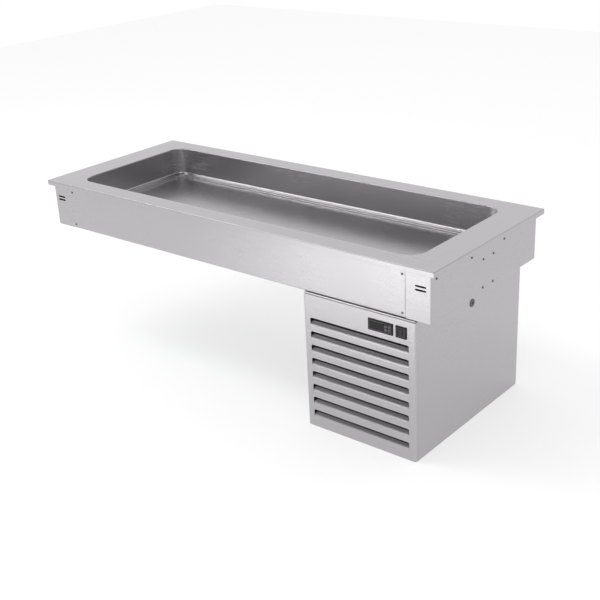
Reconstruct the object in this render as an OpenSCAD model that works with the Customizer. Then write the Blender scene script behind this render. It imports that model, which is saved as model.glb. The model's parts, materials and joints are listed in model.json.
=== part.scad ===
// Refrigerated drop-in well: a pressed well in a counter flange, a panelled casing round
// its insulation, and a cabinet below one end that holds the cooling machine.
// X runs along the counter, Y from front to back, Z up. The origin is the middle of the
// unit, level with the foot of the cabinet.

/* [Flange] */
// Length of the flange
flange_l = 1720; // [1500:10:2200]
// Depth of the flange, front to back
flange_w = 660; // [620:5:760]
// Height of the whole unit
overall_h = 655; // [640:5:760]
// Thickness of the flange sheet
flange_t = 1.5; // [1:0.1:2]
// Height of the rim turned down round the flange
rim_h = 18; // [14:1:30]
// Width of the hem turned inwards under the rim
hem_w = 12; // [8:1:14]
// Outer radius of the rim's bends
rim_bend = 3; // [2.2:0.2:4]

/* [Well] */
// Width of the flange beyond each end of the well
end_flange = 110; // [100:5:150]
// Width of the flange in front of the well and behind it
side_flange = 73; // [68:1:90]
// Radius of the well's upright corners
well_r = 55; // [45:1:70]
// Thickness of the well's sheet
well_t = 1.2; // [0.8:0.1:1.5]
// Depth of the ledge that runs round the floor
ledge_depth = 104; // [85:1:106]
// Width of the ledge
ledge_w = 28; // [22:1:34]
// Drop from the ledge to the floor
step_h = 8; // [6.5:0.5:9]
// Radius of the bend at the mouth of the well
mouth_bend = 3; // [2:0.5:4]
// Inner radius of the bend at the foot of the walls
foot_bend = 8; // [5:1:12]
// Inner radius of the bends in the step
step_bend = 2; // [1.5:0.1:2.5]
// Width of the lip welded into the flange
lip_w = 8; // [6:1:10]

/* [Insulation] */
// Thickness of the insulation round the walls
foam_wall = 30; // [24:1:31]
// Thickness of the galvanised shell round the insulation
shell_t = 0.8; // [0.6:0.1:1]

/* [Casing] */
// Height of the casing below the flange's top
case_depth = 173; // [170:1:200]
// How far the flange stands past each end of the casing
end_overhang = 20; // [16:1:26]
// How far the flange stands past the casing's front and back
side_overhang = 15; // [14:0.5:16]
// Thickness of the casing's panels
panel_t = 1; // [0.8:0.1:1.2]
// Length of the end panels' wrap round the corners
wrap_w = 88; // [80:1:100]
// Depth of the panels' bottom and side returns
return_w = 16; // [12:1:20]
// Gap at the seams between panels
seam_gap = 0.6; // [0.3:0.1:1]
// Distance from a seam to the screws beside it
screw_inset = 11; // [9:1:13]
// Height of the panel screws' top row below the flange's top
screw_top = 35; // [30:1:45]
// Height of the panel screws' bottom row above the casing's foot
screw_bottom = 14; // [10:1:20]
// Radius of the panel screws' thread
screw_r = 1.9; // [1.5:0.1:2.2]
// Length of the slots near the corners
slot_l = 38; // [30:1:45]
// Height of the slots near the corners
slot_h = 6; // [4:0.5:8]
// Spacing of the two slots
slot_pitch = 12; // [10:0.5:16]
// Depth of the upper slot below the flange's top
slot_drop = 61; // [50:1:80]

/* [Cabinet] */
// Width of the cabinet
cab_w = 425; // [405:5:520]
// Distance from the casing's right end to the cabinet's side
cab_inset = 50; // [46:1:56]
// How far the cabinet stands back from the casing's back
cab_setback = 3; // [2:0.5:6]
// How far the cabinet's front stands out past the casing's front
cab_proud = 3; // [2:0.5:4]
// Thickness of the cabinet's sheet
cab_t = 1; // [0.8:0.1:1.5]
// Width of the cabinet's folded returns
cab_return = 25; // [20:1:30]
// Radius of the cord grommet's groove
grommet_r = 11; // [9:0.5:13]
// Depth of the grommet's middle below the flange's top
grommet_drop = 231; // [225:1:260]

/* [Grille] */
// Gap between the casing's foot and the grille
grille_gap = 3; // [2:0.5:6]
// Thickness of the grille's sheet
grille_t = 1.2; // [1:0.1:1.5]
// Depth of the grille's folded sides
grille_d = 12; // [10:1:16]
// Outer radius of the grille's upright bends
grille_bend = 6; // [3:0.5:8]
// Number of louvres
louvres = 8; // [5:1:8]
// Height of a louvre's slot
louvre_h = 28.5; // [20:0.5:32]
// Height of the last louvre's foot above the grille's foot
louvre_foot = 34; // [30:1:60]
// Depth of the first louvre below the grille's top
louvre_top = 84; // [78:1:92]
// Width of the plain border beside the louvres
louvre_side = 25; // [20:1:40]
// Length of a louvre's tongue past its bend
tongue_l = 2; // [1:0.5:6]
// Outer radius of a tongue's bend
tongue_bend = 24; // [20:1:25]
// Angle of a tongue from upright
tongue_angle = 68; // [60:1:72]

/* [Controls] */
// Width of the controller's face
ctl_w = 90; // [80:1:94]
// Height of the controller's and the switch's faces
ctl_h = 37.5; // [35:0.5:42]
// How far the faces stand out of the grille
ctl_proud = 3; // [2:0.5:5]
// Distance from the cabinet's right side to the controller's middle
ctl_inset = 126.5; // [120:0.5:140]
// Depth of both faces' middles below the grille's top
ctl_drop = 46; // [42:0.5:50]
// Depth of the controller's housing behind the grille
ctl_depth = 55; // [45:1:62]
// Width of a button
button_w = 10; // [8:0.5:11]
// Height of a button
button_h = 8; // [6:0.5:9]
// Clearance round a moving button
button_gap = 0.3; // [0.2:0.05:0.4]
// Width of the switch's face
switch_w = 38; // [34:1:40]
// Distance from the cabinet's right side to the switch's middle
switch_inset = 51.5; // [46:0.5:54]
// Width of the rocker
rocker_w = 22; // [18:0.5:24]
// Height of the rocker
rocker_h = 27; // [24:0.5:28]
// Radius of the rocker's pins
rocker_pin_r = 1.5; // [1:0.1:2]

/* [Cooling machine] */
// Radius of the fan blades
fan_r = 112; // [90:1:118]
// Gap between the blades and their ring
fan_gap = 4; // [3:0.5:6]
// Radius of the motor shaft
shaft_r = 4; // [3:0.5:5]
// Running clearance of shafts and pins
run_gap = 0.05; // [0.03:0.01:0.08]
// Radius of the compressor's shell
comp_r = 82; // [70:1:90]
// Height of the compressor's shell
comp_h = 185; // [160:1:200]
// Width of the condenser's fin pack
fins_w = 300; // [260:5:310]
// Height of the condenser's fin pack
fins_h = 270; // [264:2:300]
// Depth of the condenser's fin pack
fins_d = 44; // [36:1:50]
// Spacing of the fins
fin_pitch = 12; // [10:1:15]
// Radius of the condenser's and evaporator's tube
tube_r = 4.75; // [4:0.25:5]
// Radius of the liquid and discharge lines
line_r = 3.2; // [2.5:0.1:3.6]
// Reach of the condenser's bends past its fins
bend_reach = 22; // [20:1:26]
// Straight length of a line before its first bend
line_reach = 40; // [32:1:44]
// Distance from the compressor's middle to the cabinet's back
comp_back = 147; // [140:1:160]
// Height of the end hangers
hanger_h = 50; // [46:1:60]

/* [Drain] */
// Place of the drain along the well, from its middle
drain_x = 250; // [200:5:270]
// Place of the drain across the well, from its middle
drain_y = -80; // [-81:0.5:-79]
// Radius of the drain tail's bore
drain_bore = 10; // [8:0.5:11]
// Radius of the drain tail outside
drain_r = 13; // [12:0.5:14]
// Radius of the tail's flange
drain_flange_r = 28; // [26:0.5:30]

/* [Hidden] */
$fn = 64;

// Clearance where one still piece rests against another
seat = 0.3;

// Heights
z_top = overall_h;
z_under = z_top - flange_t;
z_seat = z_top - rim_h;
z_case = z_top - case_depth;
z_ledge = z_top - ledge_depth;
z_floor = z_ledge - step_h;
z_floor_under = z_floor - well_t;
z_coil = z_floor_under - tube_r - seat;
z_foam_top = z_coil - tube_r - seat;
z_foam_foot = z_case + shell_t + seat;

// Plan
case_x = flange_l / 2 - end_overhang;
case_y = flange_w / 2 - side_overhang;
well_l = flange_l - 2 * end_flange;
well_w = flange_w - 2 * side_flange;
well_x = well_l / 2;
well_y = well_w / 2;
foam_in = well_t + seat;
foam_x = well_x + foam_in + foam_wall;
foam_y = well_y + foam_in + foam_wall;
shell_x = foam_x + seat + shell_t;
shell_y = foam_y + seat + shell_t;
seam_x = case_x - wrap_w;
ledge_in = ledge_w - step_bend - well_t;
step_out = 2 * step_bend + well_t;
floor_in = ledge_in + step_out;

// Screws
screw_x = seam_x - screw_inset;
screw_zs = [z_case + screw_bottom, z_top - screw_top];
end_screw_ys = [30 - case_y, -90, 105];
end_screw_z = z_top - 38;
box_screw_ys = [-21, 40];
box_screw_zs = [z_case + 14.5, z_case + 107.5];

// Cabinet
cab_x2 = case_x - cab_inset;
cab_x1 = cab_x2 - cab_w;
cab_x = (cab_x1 + cab_x2) / 2;
cab_y1 = -case_y - cab_proud;
cab_y2 = case_y - cab_setback;
side_y1 = cab_y1 + grille_d + seat;
grille_z = z_case - grille_gap;
grille_back = cab_y1 + grille_d;
louvre_pitch = (grille_z - louvre_top - louvre_h - louvre_foot) / (louvres - 1);
stud_r = 3;
stud_l = 12;
stud_ys = [side_y1 + 40, 0, cab_y2 - 40];
return_mid = cab_return - 8;
stud_xs = [cab_x1 + return_mid, cab_x2 - return_mid];
nut_h = 5;

// Controls
ctl_x = cab_x2 - ctl_inset;
ctl_z = grille_z - ctl_drop;
switch_x = cab_x2 - switch_inset;
ctl_face = cab_y1 - ctl_proud;
ctl_hole_w = ctl_w - 8;
ctl_hole_h = ctl_h - 8;
switch_hole_w = switch_w - 8;
switch_hole_h = ctl_h - 8;
button_x = ctl_w / 2 - 24;
button_step_x = button_w + 3;
button_step_z = button_h + 3;
rocker_back = 10;
rocker_axis_y = ctl_face + 8;

// Cooling machine
base_z = cab_t;
fins_y = grille_back + cab_proud + cab_setback + 24;
fins_z = base_z + 24;
fan_x = cab_x;
fan_z = fins_z + fins_h / 2;
shroud_y = fins_y + fins_d + seat;
shroud_t = 1.2;
ring_d = 34;
blade_y = shroud_y + 20;
motor_r = 42;
motor_l = 60;
motor_y = shroud_y + ring_d + 22;
comp_x = cab_x1 + 165;
comp_y = cab_y2 - comp_back;
plate_z = base_z + 12;
comp_z = plate_z + 10;
plate_half = comp_r + 6;
bolt_inset = plate_half - 16;
coil_pitch = 80;
coil_rows = [-2.5, -1.5, -0.5, 0.5, 1.5, 2.5];
coil_x2 = cab_x2 - 95;
coil_x1 = -well_x + 90;
coil_bend = 15;
line_top = z_case - 24;
condenser_rows = 6;
row_pitch = 42;
drier_x = cab_x1 + 60;
drier_y = 40;
drier_z = base_z + 60;
drier_l = 110;

// Drain
drain_foot = z_case - 8;
nut_z = z_floor_under - 4;
valve_r = 19;
valve_h = 46;
valve_z = drain_foot - valve_h / 2;
ball_r = 13;
stem_r = 4;
stem_out = 34;
lever_l = 72;

// A block between two corners
module block(x1, x2, y1, y2, z1, z2) {
    translate([x1, y1, z1]) cube([x2 - x1, y2 - y1, z2 - z1]);
}

// A flat rectangle with round corners
module round_rect(l, w, r) {
    square([l - 2 * r, w], center = true);
    square([l, w - 2 * r], center = true);
    for (x = [-1, 1], y = [-1, 1])
        translate([x * (l / 2 - r), y * (w / 2 - r)]) circle(r);
}

// A quarter ring between two radii, in the quadrant that sx and sy name
module quarter_ring(r_out, r_in, sx, sy) {
    intersection() {
        difference() {
            circle(r_out);
            circle(r_in);
        }
        translate([sx < 0 ? -r_out : 0, sy < 0 ? -r_out : 0]) square(r_out);
    }
}

// A hexagonal prism with a hole, standing on its face
module hex_nut(r, h, hole) {
    difference() {
        cylinder(h = h, r = r, $fn = 6);
        translate([0, 0, -1]) cylinder(h = h + 2, r = hole);
    }
}

// A screw along +Y from its head, with a domed head that stands out at the front
module panel_screw(r, l) {
    rotate([-90, 0, 0]) {
        cylinder(h = l, r = r);
        rotate([180, 0, 0]) rotate_extrude()
            polygon([[0, 0], [2 * r, 0], [1.7 * r, r * 0.7], [r, r], [0, r]]);
    }
}

// Tube runs that turn at right angles
function unit(v) = v / norm(v);

module rod(p, q, r) {
    d = q - p;
    translate(p) rotate([0, acos(d.z / norm(d)), atan2(d.y, d.x)]) cylinder(h = norm(d), r = r);
}

module elbow(p, a, b, r, bend) {
    n = cross(a, b);
    c = p + (b - a) * bend;
    multmatrix([[-b.x, a.x, n.x, c.x], [-b.y, a.y, n.y, c.y], [-b.z, a.z, n.z, c.z], [0, 0, 0, 1]])
        rotate_extrude(angle = 90) translate([bend, 0]) circle(r);
}

module pipe_run(pts, r, bend) {
    last = len(pts) - 1;
    for (i = [0 : last - 1]) {
        d = unit(pts[i + 1] - pts[i]);
        rod(pts[i] + (i == 0 ? 0 : bend) * d, pts[i + 1] - (i == last - 1 ? 0 : bend) * d, r);
    }
    for (i = [1 : last - 1])
        elbow(pts[i], unit(pts[i] - pts[i - 1]), unit(pts[i + 1] - pts[i]), r, bend);
}

// Flange
module rim_bend_section() {
    translate([-rim_bend, -rim_bend]) quarter_ring(rim_bend, rim_bend - flange_t, 1, 1);
}

module top_flange() {
    color("gainsboro") {
        translate([0, 0, z_under]) linear_extrude(flange_t) difference() {
            square([flange_l - 2 * rim_bend, flange_w - 2 * rim_bend], center = true);
            round_rect(well_l + 2 * lip_w, well_w + 2 * lip_w, well_r + lip_w);
        }
        translate([0, 0, z_seat]) linear_extrude(rim_h - rim_bend) difference() {
            round_rect(flange_l, flange_w, rim_bend);
            round_rect(flange_l - 2 * flange_t, flange_w - 2 * flange_t, rim_bend - flange_t);
        }
        translate([0, 0, z_seat]) linear_extrude(flange_t) difference() {
            round_rect(flange_l, flange_w, rim_bend);
            square([flange_l - 2 * hem_w, flange_w - 2 * hem_w], center = true);
        }
        for (a = [0, 180]) rotate([0, 0, a]) {
            translate([flange_l / 2, 0, z_top]) rotate([90, 0, 0])
                linear_extrude(flange_w - 2 * rim_bend, center = true) rim_bend_section();
            rotate([0, 0, 90]) translate([flange_w / 2, 0, z_top]) rotate([90, 0, 0])
                linear_extrude(flange_l - 2 * rim_bend, center = true) rim_bend_section();
        }
        for (x = [-1, 1], y = [-1, 1])
            translate([x * (flange_l / 2 - rim_bend), y * (flange_w / 2 - rim_bend), z_top])
                rotate([0, 0, x > 0 ? (y > 0 ? 0 : -90) : (y > 0 ? 90 : 180)])
                    rotate_extrude(angle = 90) translate([rim_bend, 0]) rim_bend_section();
    }
}

// Section through the well's wall, from the lip in the flange down to the bend at its foot.
// X is outwards from the inner face of the wall, Y is up from the flange's top.
module wall_section() {
    wall_foot = foot_bend - ledge_depth;
    translate([mouth_bend, -well_t]) square([lip_w - mouth_bend, well_t]);
    translate([mouth_bend, -mouth_bend]) quarter_ring(mouth_bend, mouth_bend - well_t, -1, 1);
    translate([0, wall_foot]) square([well_t, -mouth_bend - wall_foot]);
    translate([-foot_bend, wall_foot]) quarter_ring(foot_bend + well_t, foot_bend, 1, -1);
}

// Section through the ledge and the step, in the same axes
module ledge_section() {
    floor_y = -ledge_depth - step_h;
    translate([-ledge_in, -ledge_depth - well_t]) square([ledge_in - foot_bend, well_t]);
    translate([-ledge_in, -ledge_depth - well_t - step_bend])
        quarter_ring(step_bend + well_t, step_bend, -1, 1);
    translate([-ledge_in - step_bend - well_t, floor_y + step_bend])
        square([well_t, step_h - 2 * step_bend - well_t]);
    translate([-floor_in, floor_y + step_bend]) quarter_ring(step_bend + well_t, step_bend, 1, -1);
}

// Carries a section along the four straight sides of the well
module along_sides() {
    for (a = [0, 180]) rotate([0, 0, a]) {
        translate([well_x, 0, z_top]) rotate([90, 0, 0])
            linear_extrude(well_w - 2 * well_r, center = true) children();
        rotate([0, 0, 90]) translate([well_y, 0, z_top]) rotate([90, 0, 0])
            linear_extrude(well_l - 2 * well_r, center = true) children();
    }
}

// Carries a section round the four corners of the well
module round_corners() {
    for (x = [-1, 1], y = [-1, 1])
        translate([x * (well_x - well_r), y * (well_y - well_r), z_top])
            rotate([0, 0, x > 0 ? (y > 0 ? 0 : -90) : (y > 0 ? 90 : 180)])
                rotate_extrude(angle = 90) translate([well_r, 0]) children();
}

module well_walls() {
    color("silver") along_sides() wall_section();
}

module well_corners() {
    color("silver") round_corners() wall_section();
}

module well_floor() {
    color("silver") difference() {
        union() {
            along_sides() ledge_section();
            round_corners() ledge_section();
            translate([0, 0, z_floor_under]) linear_extrude(well_t)
                round_rect(well_l - 2 * floor_in, well_w - 2 * floor_in, well_r - floor_in);
        }
        translate([drain_x, drain_y, z_floor - 5]) cylinder(h = 10, r = drain_r + seat);
    }
}

// Drain
module drain_strainer() {
    color("lightgray") translate([drain_x, drain_y, z_floor + 2 + seat]) difference() {
        rotate_extrude() polygon([[0, 0], [drain_flange_r - 1, 0], [drain_flange_r - 3, 2], [0, 2.6]]);
        for (ring = [1, 2], i = [0 : 6 * ring - 1])
            rotate([0, 0, i * 60 / ring]) translate([ring * 4.2, 0, -1]) cylinder(h = 5, r = 1.3);
    }
}

module drain_washer() {
    color("dimgray") translate([drain_x, drain_y, z_floor_under - 2]) difference() {
        cylinder(h = 2, r = drain_flange_r - 2);
        translate([0, 0, -1]) cylinder(h = 4, r = drain_r + seat);
    }
}

module drain_tail() {
    color("lightgray") translate([drain_x, drain_y, 0]) difference() {
        union() {
            translate([0, 0, z_floor]) cylinder(h = 2, r = drain_flange_r);
            translate([0, 0, drain_foot]) cylinder(h = z_floor + 1 - drain_foot, r = drain_r);
        }
        translate([0, 0, drain_foot - 1]) cylinder(h = z_floor + 4 - drain_foot, r = drain_bore);
    }
}

module drain_nut() {
    color("goldenrod") translate([drain_x, drain_y, nut_z - 8])
        hex_nut(drain_flange_r - 4, 10, drain_r + 0.1);
}

module valve_body() {
    color("darkkhaki") translate([drain_x, drain_y, valve_z]) difference() {
        union() {
            translate([0, 0, -valve_h / 2]) cylinder(h = valve_h, r = valve_r);
            translate([0, 0, -valve_h / 2 - 26]) cylinder(h = 26, r = drain_r);
            rotate([90, 0, 0]) cylinder(h = stem_out - 6, r = 9);
        }
        sphere(r = ball_r + seat);
        translate([0, 0, -valve_h / 2 - 27]) cylinder(h = 34 + valve_h / 2, r = drain_bore);
        cylinder(h = valve_h / 2 + 1, r = drain_bore);
        rotate([90, 0, 0]) cylinder(h = stem_out, r = stem_r + run_gap);
    }
}

module valve_seats() {
    color("white") translate([drain_x, drain_y, valve_z]) for (a = [0, 180]) rotate([a, 0, 0])
        translate([0, 0, ball_r + seat]) difference() {
            cylinder(h = 3, r = drain_bore);
            translate([0, 0, -1]) cylinder(h = 5, r = drain_bore - 2);
        }
}

module valve_ball() {
    color("silver") translate([drain_x, drain_y, valve_z]) rotate([0, 90, 0]) rotate_extrude()
        intersection() {
            circle(ball_r);
            translate([drain_bore - 2, -ball_r]) square([ball_r, 2 * ball_r]);
        }
}

module valve_stem() {
    color("silver") translate([drain_x, drain_y - ball_r, valve_z]) rotate([90, 0, 0])
        cylinder(h = stem_out + 3 - ball_r, r = stem_r);
}

module valve_lever() {
    color("firebrick") translate([drain_x, drain_y - stem_out, valve_z]) rotate([90, 0, 0]) difference() {
        union() {
            cylinder(h = 3, r = 9);
            translate([-lever_l + 8, -7, 0]) cube([lever_l - 8, 14, 3]);
            translate([-lever_l + 8, 0, 0]) cylinder(h = 3, r = 7);
        }
        translate([0, 0, -1]) cylinder(h = 5, r = stem_r);
    }
}

// Evaporator and insulation
function coil_y(i) = coil_rows[i] * coil_pitch;

module evaporator_coil() {
    rows = len(coil_rows);
    runs = [for (i = [0 : rows - 1]) each i % 2 == 0
        ? [[coil_x2, coil_y(i), z_coil], [coil_x1, coil_y(i), z_coil]]
        : [[coil_x1, coil_y(i), z_coil], [coil_x2, coil_y(i), z_coil]]];
    ends = [for (y = [coil_y(0), coil_y(rows - 1)]) [coil_x2, y, line_top]];
    color("peru") pipe_run([ends[0], each runs, ends[1]], tube_r, coil_bend);
}

module temperature_probe() {
    color("silver") translate([cab_x, 0, z_floor_under - 3 - seat]) {
        rotate([0, 90, 0]) cylinder(h = 40, r = 3);
        translate([0, -6, 1.5]) cube([8, 12, 1.5]);
    }
}

module coil_holes(r) {
    for (i = [0, len(coil_rows) - 1])
        translate([coil_x2, coil_y(i), z_case - 1]) cylinder(h = z_foam_top - z_case + 20, r = r);
}

module foam_floor() {
    color("khaki") difference() {
        translate([0, 0, z_foam_foot]) linear_extrude(z_foam_top - z_foam_foot)
            round_rect(well_l - 2, well_w - 2, well_r - 1);
        coil_holes(tube_r + 0.5);
        for (i = [0, len(coil_rows) - 1]) block(coil_x2 - coil_bend - 1, coil_x2 + tube_r + 0.5,
            coil_y(i) - tube_r - 0.5, coil_y(i) + tube_r + 0.5, z_coil - coil_bend - 1, z_foam_top + 1);
        translate([drain_x, drain_y, z_case]) cylinder(h = 100, r = drain_flange_r);
    }
}

module foam_walls() {
    height = z_top - mouth_bend - seat - z_foam_foot;
    color("khaki") translate([0, 0, z_foam_foot]) linear_extrude(height) difference() {
        square([2 * foam_x, 2 * foam_y], center = true);
        round_rect(well_l + 2 * foam_in, well_w + 2 * foam_in, well_r + foam_in);
    }
}

module insulation_shell() {
    color("darkgray") difference() {
        union() {
            difference() {
                block(-shell_x, shell_x, -shell_y, shell_y, z_case, z_under);
                block(shell_t - shell_x, shell_x - shell_t, shell_t - shell_y, shell_y - shell_t,
                    z_case + shell_t, z_top);
            }
            for (x = stud_xs, y = stud_ys)
                translate([x, y, z_case - stud_l]) cylinder(h = stud_l, r = stud_r);
        }
        coil_holes(tube_r + 0.5);
        translate([drain_x, drain_y, z_case - 1]) cylinder(h = 4, r = drain_r + seat);
    }
}

// Casing
module long_panel() {
    x = seam_x - seam_gap;
    color("gainsboro") difference() {
        union() {
            block(-x, x, -case_y, panel_t - case_y, z_case, z_under);
            block(-x, x, -case_y, return_w - case_y, z_case, z_case + panel_t);
            block(-x, x, -case_y, return_w - case_y, z_under - panel_t, z_under);
        }
        for (sx = [-1, 1], z = screw_zs)
            translate([sx * screw_x, -case_y - 1, z]) rotate([-90, 0, 0]) cylinder(h = 4, r = screw_r);
    }
}

module front_panel() long_panel();

module back_panel() rotate([0, 0, 180]) long_panel();

// The right end panel; the left one is its mirror image without the box's screw holes
module end_panel(box_holes) {
    color("gainsboro") difference() {
        union() {
            difference() {
                block(seam_x, case_x, -case_y, case_y, z_case, z_under);
                block(seam_x - 1, case_x - panel_t, panel_t - case_y, case_y - panel_t, z_case - 1, z_top);
            }
            block(shell_x + seat, case_x, -case_y, case_y, z_case, z_case + panel_t);
            for (sy = [0, 1]) mirror([0, sy, 0]) {
                block(seam_x, case_x, -case_y, return_w - case_y, z_case, z_case + panel_t);
                block(seam_x, seam_x + panel_t, -case_y, return_w - case_y, z_case, z_under);
            }
        }
        for (i = [0, 1]) translate([case_x - slot_l / 2 - 16, -case_y, z_top - slot_drop - i * slot_pitch])
            rotate([90, 0, 0]) linear_extrude(8, center = true)
                round_rect(slot_l, slot_h, slot_h / 2 - 0.05);
        for (y = end_screw_ys) translate([case_x - 3, y, end_screw_z]) rotate([0, 90, 0])
            cylinder(h = 6, r = screw_r);
        if (box_holes) for (y = box_screw_ys, z = box_screw_zs)
            translate([case_x - 3, y, z]) rotate([0, 90, 0]) cylinder(h = 6, r = screw_r);
    }
}

module right_end_panel() end_panel(true);

module left_end_panel() mirror([1, 0, 0]) end_panel(false);

// Uprights behind the seams, between the shell and the long panels
module panel_posts() {
    x2 = seam_x - seat;
    x1 = x2 - 26;
    z1 = z_case + panel_t + seat;
    z2 = z_under - panel_t - seat;
    color("darkgray") for (sx = [0, 1], sy = [0, 1]) mirror([sx, 0, 0]) mirror([0, sy, 0]) difference() {
        union() {
            block(x1, x2, shell_y + seat, shell_y + seat + 1.5, z1, z2);
            block(x1, x2, case_y - panel_t - 1.5, case_y - panel_t, z1, z2);
            block(x1, x1 + 1.5, shell_y + seat, case_y - panel_t, z1, z2);
        }
        for (z = screw_zs)
            translate([screw_x, case_y - 4, z]) rotate([-90, 0, 0]) cylinder(h = 8, r = screw_r);
    }
}

module end_hangers() {
    y1 = end_screw_ys[0] - 12;
    y2 = end_screw_ys[2] + 45;
    color("darkgray") for (sx = [0, 1]) mirror([sx, 0, 0]) difference() {
        union() {
            block(case_x - panel_t - 1.5, case_x - panel_t, y1, y2, z_top - hanger_h, z_under);
            block(case_x - panel_t - 30, case_x - panel_t, y1, y2, z_under - 1.5, z_under);
        }
        for (y = end_screw_ys) translate([case_x - 6, y, end_screw_z]) rotate([0, 90, 0])
            cylinder(h = 8, r = screw_r);
    }
}

module panel_screws() {
    color("dimgray") for (a = [0, 180], sx = [-1, 1], z = screw_zs)
        rotate([0, 0, a]) translate([sx * screw_x, -case_y, z]) panel_screw(screw_r, 8);
}

module end_screws() {
    color("dimgray") for (sx = [0, 1], y = end_screw_ys)
        mirror([sx, 0, 0]) translate([case_x, y, end_screw_z]) rotate([0, 0, 90]) panel_screw(screw_r, 8);
}

// Terminal box inside the right end, held by the rectangle of four screws
module terminal_box() {
    y1 = box_screw_ys[0] - 9;
    y2 = box_screw_ys[1] + 9;
    z1 = box_screw_zs[0] - 9;
    z2 = box_screw_zs[1] + 9;
    x2 = case_x - panel_t;
    x1 = x2 - 38;
    color("whitesmoke") difference() {
        block(x1, x2, y1, y2, z1, z2);
        difference() {
            block(x1 - 1, x2 - 2, y1 + 2, y2 - 2, z1 + 2, z2 - 2);
            for (y = box_screw_ys, z = box_screw_zs)
                translate([x1 - 2, y, z]) rotate([0, 90, 0]) cylinder(h = 50, r = 5);
        }
        for (y = box_screw_ys, z = box_screw_zs)
            translate([x2 - 12, y, z]) rotate([0, 90, 0]) cylinder(h = 14, r = screw_r);
        translate([x2 - 20, (y1 + y2) / 2, z1 - 1]) cylinder(h = 6, r = 6);
    }
}

module terminal_box_lid() {
    x1 = case_x - panel_t - 38;
    color("white") block(x1 - 2.5, x1, box_screw_ys[0] - 9, box_screw_ys[1] + 9,
        box_screw_zs[0] - 9, box_screw_zs[1] + 9);
}

module terminal_box_screws() {
    color("dimgray") for (y = box_screw_ys, z = box_screw_zs)
        translate([case_x, y, z]) rotate([0, 0, 90]) panel_screw(screw_r, 10);
}

// Cabinet
module cabinet_side(hole) {
    x = cab_x2;
    color("lightgray") difference() {
        union() {
            block(x - cab_t, x, side_y1, cab_y2, 0, z_case);
            block(x - cab_return, x, side_y1, cab_y2, z_case - cab_t, z_case);
            block(x - 14, x, side_y1, side_y1 + cab_t, 0, z_case);
            block(x - 14, x, cab_y2 - cab_t, cab_y2, 0, z_case);
        }
        for (y = stud_ys) translate([x - return_mid, y, z_case - 5]) cylinder(h = 10, r = stud_r + 0.2);
        if (hole) translate([x - 4, 2, z_top - grommet_drop]) rotate([0, 90, 0])
            cylinder(h = 8, r = grommet_r);
    }
}

module cabinet_right_side() cabinet_side(true);

module cabinet_left_side() translate([2 * cab_x, 0, 0]) mirror([1, 0, 0]) cabinet_side(false);

module cabinet_back() {
    y2 = cab_y2 - cab_t - seat;
    color("lightgray") difference() {
        block(cab_x1 + cab_t + seat, cab_x2 - cab_t - seat, y2 - cab_t, y2,
            cab_t + seat, z_case - cab_t - seat);
        for (i = [0 : 9], sx = [-1, 1])
            translate([cab_x + sx * 80, y2, 80 + i * 24]) cube([110, 8, 8], center = true);
    }
}

module cabinet_base() {
    color("darkgray") difference() {
        union() {
            block(cab_x1 + cab_t + seat, cab_x2 - cab_t - seat, side_y1 + cab_t + seat,
                cab_y2 - 2 * cab_t - 2 * seat, 0, cab_t);
            for (sx = [0, 1]) translate([cab_x, 0, 0]) mirror([sx, 0, 0])
                block(cab_w / 2 - 2 * cab_t - seat, cab_w / 2 - cab_t - seat, side_y1 + cab_t + seat,
                    cab_y2 - 2 * cab_t - 2 * seat, 0, 30);
        }
        for (i = [0 : 4]) translate([cab_x - 80 + i * 40, 0, 0]) cube([8, 160, 6], center = true);
    }
}

module cabinet_nuts() {
    color("dimgray") for (x = stud_xs, y = stud_ys)
        translate([x, y, z_case - cab_t - nut_h]) hex_nut(5.8, nut_h, stud_r + 0.1);
}

module cord_grommet() {
    color("dimgray") translate([cab_x2, 2, z_top - grommet_drop]) rotate([0, 90, 0]) difference() {
        union() {
            rotate_extrude() polygon([[0, 0], [grommet_r + 2.5, 0], [grommet_r + 2.2, 1.5],
                [grommet_r, 2.5], [grommet_r - 3, 2.5], [grommet_r - 4, 0.8], [0, 0.8]]);
            translate([0, 0, -cab_t - 0.1]) cylinder(h = cab_t + 0.2, r = grommet_r - 0.1);
            translate([0, 0, -cab_t - 2.2]) cylinder(h = 2.1, r = grommet_r + 2);
        }
        translate([0, 0, -cab_t - 3]) cylinder(h = 8, r = 4.5);
    }
}

// Grille
module grille_plan(inset) {
    w = cab_w - 2 * inset;
    r = grille_bend - inset;
    intersection() {
        translate([cab_x, cab_y1 + inset + w / 2]) round_rect(w, w, r);
        translate([cab_x1, cab_y1]) square([cab_w, grille_d - inset]);
    }
}

module louvre_slot(z) {
    w = cab_w - 2 * louvre_side;
    translate([cab_x, cab_y1 - 1, z]) rotate([-90, 0, 0]) mirror([0, 1, 0]) linear_extrude(grille_t + 2) {
        translate([-w / 2, 0]) square([w, louvre_h - 6]);
        translate([6 - w / 2, 0]) square([w - 12, louvre_h]);
        for (sx = [-1, 1]) translate([sx * (w / 2 - 6), louvre_h - 6]) circle(6);
    }
}

// Section through a tongue: X is inwards from the grille's face, Y is up
module tongue_section() {
    reach = 2 * tongue_bend;
    far = tongue_bend - reach * cos(tongue_angle);
    translate([0, -1]) square([grille_t, 1]);
    intersection() {
        translate([tongue_bend, 0]) difference() {
            circle(tongue_bend);
            circle(tongue_bend - grille_t);
        }
        polygon([[tongue_bend, 0], [tongue_bend - reach, 0], [tongue_bend - reach, reach],
            [far, reach * sin(tongue_angle)]]);
    }
    translate([tongue_bend - tongue_bend * cos(tongue_angle), tongue_bend * sin(tongue_angle)])
        rotate(90 - tongue_angle) translate([0, -grille_t]) square([tongue_l, grille_t]);
}

module louvre_tongue(z) {
    w = cab_w - 2 * louvre_side - 1;
    translate([cab_x - w / 2, cab_y1, z]) rotate([90, 0, 90]) linear_extrude(w) tongue_section();
}

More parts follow.
